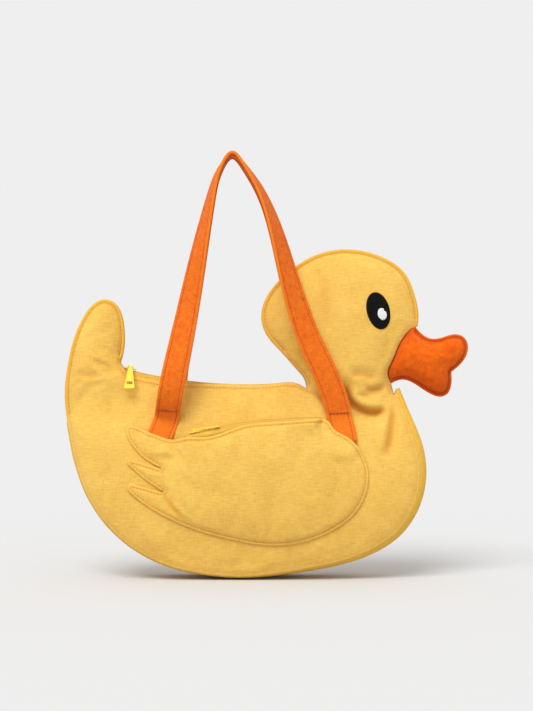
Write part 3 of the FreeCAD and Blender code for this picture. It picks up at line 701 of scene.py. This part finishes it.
# ------------------------------------------------------------------------ gusset
def make_gusset():
    seam = spaced(GUSSET_SEAM, 2.6)
    along = np.gradient(seam[:, :2], axis=0)
    outward = unit(np.stack([along[:, 1], -along[:, 0]], 1))
    shares = np.linspace(-1, 1, 19)
    corners, coords = [], []
    for point, out, place in zip(seam, outward, reach(seam[:, :2])):
        for share in shares:
            turned = max(0.0, (abs(share) - 0.3) / 0.7) ** 1.9
            crown = point[3] * (1 - turned)
            x, z = point[:2] + out * crown
            wobble = 0.35 * noise.noise(Vector((place / 17, share * 2, 3.3)))
            wobble *= (1 - abs(share)) * smooth(4, 20, z)
            corners.append((x + out[0] * wobble, share * point[2], max(z + out[1] * wobble, 0.0)))
            coords.append((place, share * point[2]))
    faces = grid_faces(len(seam), len(shares))
    made = mesh_object("gusset_cloth", corners, faces, SHADED_GOLD, coords=coords)
    if made.data.polygons[len(faces) // 2].normal.z > 0:
        made.data.flip_normals()
    mask(made, "edge", np.zeros(len(corners)))
    thicken(made, GUSSET_THICK)
    finished(made, "bag", ("base_gusset",))


make_gusset()

# -------------------------------------------------------------------------- wings
WING_TOP = (-88, 145.5)
MOUTH = through(
    WING_TOP, (-77, 141.5), (-66, 138.8), (-52.4, 141.7), (-38.7, 141.6), (-26.9, 142.8), (-16, 146.2),
    (-0.4, 152), (10.3, 154.6), (30, 156.4), (48.5, 157.5), (69, 159.2), (80.9, 159.6),
)
WING_EDGE = (
    ((80.9, 159.6), (88.4, 156), (92, 150.6), (106, 141.5), (119.5, 127), (127, 105), (124.4, 85.9),
     (112, 64.6), (86, 46.4), (59, 37), (34, 34.4), (14.3, 35.8), (0.7, 38.4), (-39.2, 48.6), (-73.7, 63.2),
     (-89.7, 72.5), (-105.6, 84.5), (-110.6, 91.5), (-107.7, 96.5)),
    ((-107.7, 96.5), (-92.3, 92.4), (-75, 87.5)),
    ((-75, 87.5), (-95, 101.0), (-106.9, 111.4)),
    ((-106.9, 111.4), (-110.9, 116), (-108.3, 120.2)),
    ((-108.3, 120.2), (-95, 116.4), (-77.2, 110.6)),
    ((-77.2, 110.6), (-95, 121), (-106.9, 134)),
    ((-106.9, 134), (-112, 145.5), (-111.6, 151.6), (-102.3, 151.6), WING_TOP),
)
WING = [("mouth", MOUTH)] + [("edge", through(*points)) for points in WING_EDGE]
MOUTH_DEPTH = 38.2              # where the zip holds the mouth of the front wing
STRAP_ENDS = (((-80, 139), (-74, 160)), ((103.2, 136.5), (98.5, 160)))


def over_strap(p):
    """How far the wing is lifted where it covers the ends of a handle."""
    lift = np.zeros(len(p))
    for low, high in STRAP_ENDS:
        gap, _, _ = to_line(p, np.array([low, high]))
        lift = np.maximum(lift, 3.3 * (1 - smooth(11.5, 22.0, gap)))
    return lift


def make_wing(side, word, surface):
    rows = (0.5, 1.3, 2.4, WING_WELT, 4.2, 6.0)
    wing = Panel(WING, cell=2.5, rows=rows, edge_step=1.7)
    p = wing.points
    x = p[:, 0]
    under = surface.at(p) + over_strap(p)
    border = wing.row_of >= 0
    profile = np.interp(wing.row_of, (0, *rows), (0.3, 1.6, 2.3, 2.5, 1.9, 2.3, 2.7))
    held = border & (wing.row_of <= WING_WELT)
    mouth_lift = np.zeros(len(p))
    if side > 0:
        raised = smooth(-70, -52, x) * (1 - smooth(74, 86, x))
        mouth_lift = np.where(wing.kind_at("mouth"), np.maximum(MOUTH_DEPTH - under, 0) * raised, 0.0)
    lift = wing.relax(held, mouth_lift, 1 / 60.0 ** 2, np.zeros(len(p)))
    swell = wing.relax(held, np.zeros(len(p)), 1 / 24.0 ** 2, np.ones(len(p)))
    swell = np.maximum(swell, 0) ** 0.55
    full = smooth(-98, -58, x)
    height = np.where(border, profile, 2.8) + lift + swell * (0.17 if side > 0 else 0.05) * (0.35 + 0.65 * full)
    inner = through((-75.5, 107), (-76, 99), (-72.5, 84.5), (-61, 68), (-47, 56))
    loose = smooth(3.5, 9.0, wing.distance)
    for line, *sizes in (
        (inner, 2.4, 1.9, 0.8, 0.3),
        (through((-66, 140), (-63, 131), (-56, 119)), 2.6, 2.0, 0.7, 0.3),
        (through((-88, 130), (-72, 121), (-50, 121)), 3.5, 1.1, 0.5, 0.4),
        (through((-70, 112), (-40, 92), (-20, 84)), 6.0, 0.8, 0.5, 0.4),
    ):
        height += loose * fold(p, line, *sizes)
    height += loose * (0.7 * ripple(p, 38, 4.1 + side) + 0.34 * ripple(p, 15, 6.6 + side))
    pucker = ripple(p, 5.0, 2.4 + side) * np.exp(-wing.distance / 6.0) * smooth(1.5, 5.0, wing.distance)
    height += 0.45 * pucker
    depth = settle(wing, under + height, border & (wing.row_of <= 4.2), 1.8)
    depth = np.maximum(depth, under + np.minimum(height, 2.2))
    # painted shade along the wing's topstitching and in its inner feather fold, as the crease mask
    painted_shade = np.exp(-(wing.distance - WING_WELT) ** 2) * 0.18
    painted_shade = np.maximum(painted_shade, -loose * fold(p, inner, 2.0, 0.4, 0.0, 0.3))
    rolled = border & (wing.row_of > 0.3) & (wing.row_of < 2.6)
    masks = {"edge": rolled * 0.12, "crease": np.clip(painted_shade, 0, 0.9)}
    made = skin("%s_wing_cloth" % word, p, depth, wing.faces, YELLOW, side, WING_THICK, masks)
    finished(made, "bag", ("%s_wing" % word,))
    outer = Surface(p, depth, wing.faces)
    stitches = sewn("%s_wing_stitches" % word, edge_lines(wing, WING_WELT, outer, side), THREAD)
    finished(stitches, "bag")
    return outer


def edge_lines(panel, inset, surface, side, kinds=None):
    """Lines on a surface that follow a panel's edge at a distance, cut where corners crowd them."""
    moved = panel.loop + panel.inward * inset
    far, _, _ = to_line(moved, panel.loop, True)
    keep = far > inset * 0.96
    if kinds:
        keep &= np.isin(panel.kinds, kinds)
    depth = surface.at(moved) + 0.12
    points = in_space(moved, side * depth)
    lines, run = [], []
    start = int(np.flatnonzero(~keep)[0]) if (~keep).any() else 0
    for step in range(len(points) + 1):
        i = (start + step) % len(points)
        if keep[i]:
            run.append(points[i])
        if not keep[i] or step == len(points):
            if len(run) > 2:
                lines.append(np.array(run))
            run = []
    return lines


front_wing_top, _ = [make_wing(*which) for which in SIDES]
for side, word, surface in SIDES:
    lines = edge_lines(duck, WELT + 0.1, surface, side, ["welt"])
    lines += edge_lines(duck, ZIP_WELT, surface, side, ["zip"])
    stitches = sewn("%s_cloth_stitches" % word, lines, THREAD)
    finished(stitches, bend=NECK)

# --------------------------------------------------------------------------- beak
beak = Panel(
    [
        ("welt", through(FACE_TOP, (178.6, 246.3), (183.5, 241.8), (192, 238.3), (202.7, 239.8), (210.7, 242.3),
                         (218.8, 242.3), (225.2, 238.2), (227.9, 229.3), (223, 216), (211.2, 205))),
        ("welt", through((211.2, 205), (210.9, 191), (207, 183), (200, 180.3), (193, 182), (180, 189.6),
                         (168, 196.4), (162, 197.4), FACE_LOW)),
        ("face", FACE_SEAM),
    ],
    cell=2.2, rows=(0.8, 1.9, BEAK_WELT, 3.9, 5.4), edge_step=1.5,
)
p = beak.points
welt = beak.kind_at("welt")
corner = np.hypot(p[:, 0] - 173, p[:, 1] - 252) <= 5
held = beak.on_edge | (welt & (beak.row_of > 0) & (beak.row_of <= BEAK_WELT) & ~corner)
welt_shape = np.interp(beak.row_of, (0, 0.8, 1.9, BEAK_WELT), (0.4, 1.5, 1.6, 0.9))
values = np.where(welt & (beak.row_of <= BEAK_WELT), welt_shape, beak.from_edge(beak.edge_depth))
calm = np.zeros(len(p))
beak_depth = beak.relax(held, values, calm, calm)
beak_depth += 0.62 * np.maximum(beak.relax(held, calm, calm, calm + 1), 0) ** 0.6
loose = smooth(3, 8, beak.distance)
beak_depth += loose * fold(p, through((211, 206), (204, 212), (196, 216)), 4.0, 1.6, 0.0, 0.4)
beak_depth += loose * fold(p, through((155, 203), (166, 205.5), (178, 201), (188, 195)), 2.6, 1.5, 0.6, 0.3)
beak_depth += loose * (0.3 * ripple(p, 17, 5.2) + 0.15 * ripple(p, 7, 8.8))
# painted shade on the beak: darker along its topstitching, next to the face seam and towards its bottom
from_face = to_line(p, FACE_SEAM)[0]
beak_painted_shade = 0.75 * np.exp(-(beak.distance - BEAK_WELT) ** 2 / 1.6) * smooth(2.0, 6.0, from_face)
beak_painted_shade += 0.4 * (1 - smooth(184, 208, p[:, 1]))
beak_painted_shade = np.clip(np.maximum(beak_painted_shade, 0.5 * (1 - smooth(0.0, 5.0, from_face))), 0, 0.9)
for side, word in ((1, "front"), (-1, "back")):
    cover = skin("%s_beak_felt" % word, p, beak_depth, beak.faces, BEAK, side, FELT_THICK,
                 {"crease": beak_painted_shade})
    finished(cover, "head", ("%s_beak_cover" % word,))
    surface = Surface(p, beak_depth, beak.faces)
    lines = edge_lines(beak, BEAK_WELT, surface, side, ["welt"])
    lines += edge_lines(beak, 0.9, surface, side, ["face"])
    finished(sewn("%s_beak_stitches" % word, lines, ORANGE_THREAD, 2.0, 0.8, 0.28), "head")


# --------------------------------------------------------------------------- eyes
def oval(centre, long, short, lean):
    """An ellipse with these half axes, its long one leaning back by that many degrees."""
    turn = np.linspace(0, math.tau, int(math.tau * long) + 1)
    tilt = math.radians(lean)
    along, across = long * np.cos(turn), short * np.sin(turn)
    return np.stack([
        centre[0] - along * math.sin(tilt) + across * math.cos(tilt),
        centre[1] + along * math.cos(tilt) + across * math.sin(tilt),
    ], 1)


EYE, GLINT, EYE_LEAN = (137.2, 265.8), (141.0, 262.5), 14
for side, word, surface in SIDES:
    patch = Panel([("edge", oval(EYE, 18.8, 11.6, EYE_LEAN))], cell=1.6, rows=(0.4, 1.0, 1.8), edge_step=1.1)
    thick = np.interp(patch.distance, (0, 0.4, 1.0, 3.0), (0.1, 0.9, 1.3, 1.5))
    depth = surface.at(patch.points) + thick
    made = skin("%s_eye_felt" % word, patch.points, depth, patch.faces, BLACK, side, 0)
    finished(made, "head", ("%s_eye_patch" % word,))
    on_eye = Surface(patch.points, depth, patch.faces)
    shine = Panel([("edge", oval(GLINT, 6.1, 4.5, EYE_LEAN))], cell=0.45, rows=(0.3,), edge_step=0.6)
    away = shine.points - np.array(GLINT)
    angle = np.arctan2(away[:, 1], away[:, 0])
    cords = 0.22 * np.cos(np.hypot(*away.T) * math.tau / 1.25 - angle)
    notch = -1.6 * np.exp(-((away - (2.6, 3.6)) ** 2).sum(1) / 1.6)
    thick = np.interp(shine.distance, (0, 0.4, 1.5), (0.0, 0.8, 1.1)) + cords + notch
    depth = on_eye.at(shine.points) + thick
    made = skin("%s_eye_highlight" % word, shine.points, depth, shine.faces, WHITE, side, 0)
    finished(made, "head", ("%s_eye_glint" % word,))

# ------------------------------------------------------------------------ handles
LOOP = [
    (-70.6, -27.2, 167.3), (-54.8, -28.8, 248), (-42, -27.0, 313.6), (-27, -21.0, 385.3), (-17.5, -17.0, 411.5),
    (-7.2, -15.0, 422.0), (3.4, -17.0, 412.5), (20.6, -21.0, 385.4), (44.7, -27.0, 313.7), (68.9, -28.8, 236.8),
    (97, -27.2, 167.3),
]
STRAP_WIDE, STRAP_THICK, TWIST_FROM, LOOP_TOP = 25.0, 3.0, 185.0, 422.0
STRAP_STEP = 2.2


def strap_profile():
    """Round the strap's section: places across it and their heights, with two sewn grooves."""
    half, thick = STRAP_WIDE / 2, STRAP_THICK / 2
    across = np.array([-1, -0.97, -0.9, -0.82, -0.745, -0.72, -0.695, -0.6, -0.35, 0])
    high = np.array([0.35, 0.85, 1.05, 1.05, 0.9, 0.55, 0.8, 0.92, 0.97, 1.0]) * thick
    across = np.concatenate([across, -across[-2::-1]])
    high = np.concatenate([high, high[-2::-1]])
    top = np.stack([across * half, high], 1)
    under = np.stack([across[::-1] * half, -high[::-1]], 1)
    return np.concatenate([top, under])


def make_handle(side, word, surface):
    def seat(x, z):
        return -(surface.at([(x, z)])[0] + STRAP_THICK / 2 + 0.1)

    knots = [(-79.5, seat(-79.5, 138), 138), (-76.5, seat(-76.5, 147), 147), (-72.2, seat(-72.2, 159), 159)]
    knots += LOOP
    knots += [(98.8, seat(98.8, 158), 158), (101.2, seat(101.2, 148), 148), (103.4, seat(103.4, 135.5), 135.5)]
    path = spaced(through(*knots), STRAP_STEP, 3)
    if side < 0:
        # seen from the front, the far loop lies exactly behind the near one
        path[:, 0] += (path[:, 0] - CAMERA[0]) * 0.03 * smooth(180, 215, path[:, 2])
    along = unit(np.gradient(path, axis=0))
    profile = strap_profile()
    half, seam_at, seam_level = STRAP_WIDE / 2, 0.72 * STRAP_WIDE / 2, STRAP_THICK / 2 * 0.62
    corners, coords, edge, tops = [], [], [], []
    lines = [[], [], [], []]
    for station, (point, way) in enumerate(zip(path, along)):
        twist = min(1.0, max(0.0, (point[2] - TWIST_FROM) / (LOOP_TOP - TWIST_FROM)))
        turn = math.radians(90.0) * twist
        outside = unit(np.cross(way, (0, 1, 0)))
        face = np.array((0, -1.0, 0)) * math.cos(turn) + outside * math.sin(turn)
        face = unit(face - way * face.dot(way))
        across = np.cross(way, face)
        sway = 0.35 * noise.noise(Vector((station * 0.09, 1.1 * side, 0.4)))
        for u, v in profile:
            corners.append(point + across * u + face * (v + sway * (1 - abs(u) / 14)))
            coords.append((u, station * STRAP_STEP))
            edge.append(0.8 if abs(u) > 0.93 * half else 0.45 if point[2] < 165.5 else 0.0)
        top = point + face * (STRAP_THICK / 2 + 0.15)
        tops.append((top - across * 10.6, top + across * 10.6))
        for line, sign, out in zip(lines, (-1, 1, -1, 1), (1, 1, -1, -1)):
            line.append(point + across * sign * seam_at + face * out * seam_level)
    faces = tube_faces(0, len(path), len(profile))
    corners = np.array(corners)
    lines = [np.array(line) for line in lines]
    middle = len(path) // 2
    # the sewn bars across each end of the strap
    for level, first, last in ((167.6, 0, middle), (164.0, middle, len(path))):
        station = first + int(np.abs(path[first:last, 2] - level).argmin())
        bar = np.linspace(*tops[station], 9)
        bar[:, 2] = bar[:, 2].mean() + (bar[:, 2] - bar[:, 2].mean()) * 0.3
        lines += [bar, bar + (0, 0, -0.8)]
    if side < 0:
        corners[:, 1] *= -1
        faces = [face[::-1] for face in faces]
        for line in lines:
            line[:, 1] *= -1
    made = mesh_object("%s_strap" % word, corners, faces, ORANGE, coords=coords)
    mask(made, "edge", edge)
    joint = (("bag", "%s_handle_loop" % word), {"start": (0, 0, 0.160), "end": (0, 0, 0.174)})
    finished(made, replaces=("%s_handle" % word, "%s_handle_ends" % word), bend=joint)
    thread = sewn("%s_strap_stitches" % word, lines, RED_THREAD, 2.8, 0.5, 0.5)
    finished(thread, bend=joint)


for which in SIDES:
    make_handle(*which)


# --------------------------------------------------------------------------- zips
# three points, X and Z, on the arc of each zip, as in the CAD model
MAIN_ZIP = ((-117.5, 208.3), (-30, 193.4), (56, 194.4))
POCKET_ZIP = ((-52, 142.6), (10, 154.5), (84, 158.6))
TOOTH_PITCH = 1.35


def arc_through(*points):
    """Centre and radius of the arc through three points."""
    a, b, c = np.array(points, float)
    centre = np.linalg.solve([b - a, c - a], [(b @ b - a @ a) / 2, (c @ c - a @ a) / 2])
    return centre, math.hypot(*(a - centre))


def zip_chain(name, arc, first, last, depth, node):
    """Two rows of coil teeth along an arc; first and last are the X of its ends."""
    centre, radius = arc_through(*arc)
    up = math.copysign(1, arc[0][1] - centre[1])

    def place(x):
        rise = math.sqrt(radius ** 2 - (x - centre[0]) ** 2)
        return np.array((x, depth, centre[1] + up * rise)), np.array((rise, 0, -up * (x - centre[0]))) / radius

    corners, faces = [], []
    count = int(abs(last - first) / TOOTH_PITCH)
    for number in range(count):
        spot, along = place(first + (last - first) * (number + 0.5) / count)
        rise = np.cross(along, (0, 1, 0))
        rise = rise if rise[2] > 0 else -rise
        for row in (-1, 1):
            shift = along * (0.33 if row > 0 else -0.33)
            base = len(corners)
            rings = ((0.55, 0.55), (0.9, 0.95), (1.9, 1.0), (2.55, 0.75))
            for out, thick in rings:
                for turn in range(6):
                    angle = turn * math.tau / 6
                    corners.append(
                        spot + shift + np.array((0, row * out, 0)) + along * 0.5 * thick * math.cos(angle)
                        + rise * 1.05 * thick * math.sin(angle)
                    )
            faces += tube_faces(base, len(rings), 6, row < 0)
    finished(mesh_object(name, corners, faces, COIL), "bag", (node,))
    return place


def zip_stops(name, place, spots, node):
    """The blocks that end a chain, each at an X and lowered by its drop."""
    corners, faces = [], []
    for x, drop in spots:
        spot, along = place(x)
        rise = np.cross(along, (0, 1, 0))
        rise *= math.copysign(1, rise[2])
        base = len(corners)
        for size, level in ((0.75, -1.0), (1.0, -0.6), (1.0, 0.6), (0.75, 1.0)):
            for u, v in ((-1, -1), (1, -1), (1, 1), (-1, 1)):
                across = np.array((0, 3.2 * size * v, 0))
                corners.append(spot + along * 1.1 * size * u + across + rise * (level - drop))
        faces += tube_faces(base, 4, 4)
    finished(mesh_object(name, corners, faces, COIL, False), "bag", (node,))


main_place = zip_chain("main_zip_teeth", MAIN_ZIP, -117.5, 53.0, 0.0, "main_zip_chain")
pocket_place = zip_chain("pocket_zip_teeth", POCKET_ZIP, -52.0, 75.0, -32.6, "pocket_zip_chain")
zip_stops("main_zip_end_blocks", main_place, ((-118.7, 0.0), (54.2, 1.2)), "main_zip_stops")
zip_stops("pocket_zip_end_blocks", pocket_place, ((-53.2, 0.6), (76.2, 0.8)), "pocket_zip_stops")


def tape(name, lines, node):
    """A strip of tape through matching rows of points, from the chain to the cloth."""
    corners = np.concatenate([np.array(line) for line in lines])
    made = mesh_object(name, corners, grid_faces(len(lines), len(lines[0])), TAPE, coords=corners[:, [0, 1]])
    mask(made, "edge", np.zeros(len(corners)))
    thicken(made, TAPE_THICK)
    finished(made, "bag", (node,))


def main_tape(side, word):
    """A tape of the main zip, from beside the teeth down to inside the cloth's edge."""
    near, far = 2.3, 5.4
    lines = [[], [], [], []]
    for x in np.linspace(-116.5, 54.0, 90):
        spot, _ = main_place(x)
        edge = np.interp(-x, -ZIP_EDGE[:, 0], ZIP_EDGE[:, 1]) if x < NAPE[0] else NAPE[1]
        low = min(edge - 2.5, spot[2] - 0.8)
        for line, share in zip(lines, (0, 0.35, 0.7, 1.0)):
            depth = near + (far - near) * share
            line.append((x, -side * depth, spot[2] - 0.3 + (low - spot[2]) * share ** 1.5))
    tape("main_zip_%s_strip" % word, lines, "main_zip_%s_tape" % word)


for side, word, _ in SIDES:
    main_tape(side, word)

upper, lower = [[], [], []], [[], [], []]
for x in np.linspace(-52.0, 80.0, 80):
    spot, _ = pocket_place(x)
    wall = front_cloth.at([(x, spot[2] + 1.6)])[0]
    for line, share in zip(upper, (0, 0.5, 1.0)):
        line.append((x, -(30.2 + (wall + 0.3 - 30.2) * share), spot[2] + 0.4 + 1.2 * share))
    lip = min(np.interp(x, MOUTH[:, 0], MOUTH[:, 1]) - 1.0, spot[2] - 1.0)
    inside = front_wing_top.at([(x, lip - 0.5)])[0] - 1.8
    for line, share in zip(lower, (0, 0.5, 1.0)):
        line.append((x, -min(35.0 + 1.8 * share, inside), spot[2] - 0.3 + (lip - spot[2] + 0.3) * share))
tape("pocket_zip_upper_strip", upper, "pocket_zip_upper_tape")
tape("pocket_zip_lower_strip", lower, "pocket_zip_lower_tape")


# ----------------------------------------------------- inside: linings and fillings
def cut_out(panel, keep):
    """The kept points of a panel that faces use, and those faces numbered for them alone."""
    faces = panel.faces[keep[panel.faces].all(axis=1)]
    used = np.unique(faces)
    renumber = np.full(len(panel.points), -1)
    renumber[used] = np.arange(len(used))
    return used, renumber[faces]


x, z = duck.points.T
used, lining_faces = cut_out(duck, (duck.distance > 9.0) & (z < 186) & (x > -160))
for side, word, depth in ((1, "front", front_depth), (-1, "back", back_depth)):
    masks = {"edge": np.zeros(len(used))}
    made = skin("%s_lining_cloth" % word, duck.points[used], depth[used] - LINING_GAP, lining_faces, COTTON,
                side, LINING_THICK, masks)
    finished(made, "bag", ("%s_lining" % word,))


def stuffing(name, panel, depth, keep, node, body):
    """Loose fibre that fills a padded space, a little inside its cloth."""
    used, faces = cut_out(panel, keep)
    sides = np.sort(np.concatenate([faces[:, [0, 1]], faces[:, [1, 2]], faces[:, [2, 0]]]), axis=1)
    edges, times = np.unique(sides, axis=0, return_counts=True)
    rim = np.zeros(len(used), bool)
    rim[edges[times == 1]] = True
    inner = np.where(rim, 0.0, depth[used] * 0.7)
    front = in_space(panel.points[used], inner)
    both = np.concatenate([faces, faces[:, ::-1] + len(used)])
    made = mesh_object(name, np.concatenate([front, front * (1, -1, 1)]), both, FIBRE)
    finished(made, body, (node,))


in_head = (duck.distance > 9) & (z > 216) & (x > 0)
in_tail = (duck.distance > 8) & (z > 196) & (x < -118)
stuffing("head_stuffing", duck, front_depth, in_head, "head_filling", "head")
stuffing("tail_stuffing", duck, front_depth, in_tail, "tail_filling", "bag")
stuffing("beak_stuffing", beak, beak_depth, beak.distance > 5, "beak_filling", "head")

# ------------------------------------------------------- CAD nodes that stay in view
for name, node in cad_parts.items():
    if node.hide_render:
        continue
    finish = PAINT if "slider" in name or "pull" in name else COIL if "stops" in name else COTTON
    node.data.materials.clear()
    node.data.materials.append(finish)


# ------------------------------------------------------------ floor, light, camera
KEY_WAY, KEY_STRENGTH, KEY_ANGLE, SKY = Vector((0.24, 0.56, -0.79)).normalized(), 2.4, 34, 0.863
FLOOR_REACH = 9e3
# the floor's shade at which it meets the background without a line
FLOOR = SKY / (SKY - KEY_WAY.z * KEY_STRENGTH / math.pi)
floor_finish = Finish("floor", (FLOOR, FLOOR, FLOOR), 1.0, 0.0, 0.0).material
floor_corners = [(FLOOR_REACH * u, FLOOR_REACH * v, 0) for u, v in ((-1, -1), (1, -1), (1, 1), (-1, 1))]
floor = mesh_object("floor", floor_corners, [(0, 1, 2, 3)], floor_finish, False)
world = bpy.data.worlds.new("studio")
bpy.context.scene.world = world
world.use_nodes = True
world.node_tree.nodes["Background"].inputs["Color"].default_value = (SKY, SKY, SKY, 1)
world.node_tree.nodes["Background"].inputs["Strength"].default_value = 1.0


def sun(name, direction, strength, angle):
    light = bpy.data.lights.new(name, "SUN")
    light.energy, light.angle = strength, math.radians(angle)
    made = bpy.data.objects.new(name, light)
    made.rotation_euler = Vector(direction).to_track_quat("-Z", "Y").to_euler()
    bpy.context.scene.collection.objects.link(made)


sun("key", KEY_WAY, KEY_STRENGTH, KEY_ANGLE)
bpy.context.scene.view_settings.view_transform = "Standard"

camera = bpy.data.objects.new("camera", bpy.data.cameras.new("camera"))
bpy.context.scene.collection.objects.link(camera)
camera.location = Vector(CAMERA) * MM
camera.rotation_euler = (math.radians(90), 0, 0)
camera.data.lens = 93.7
camera.data.sensor_width = 36.0
camera.data.clip_end = 100
bpy.context.scene.camera = camera
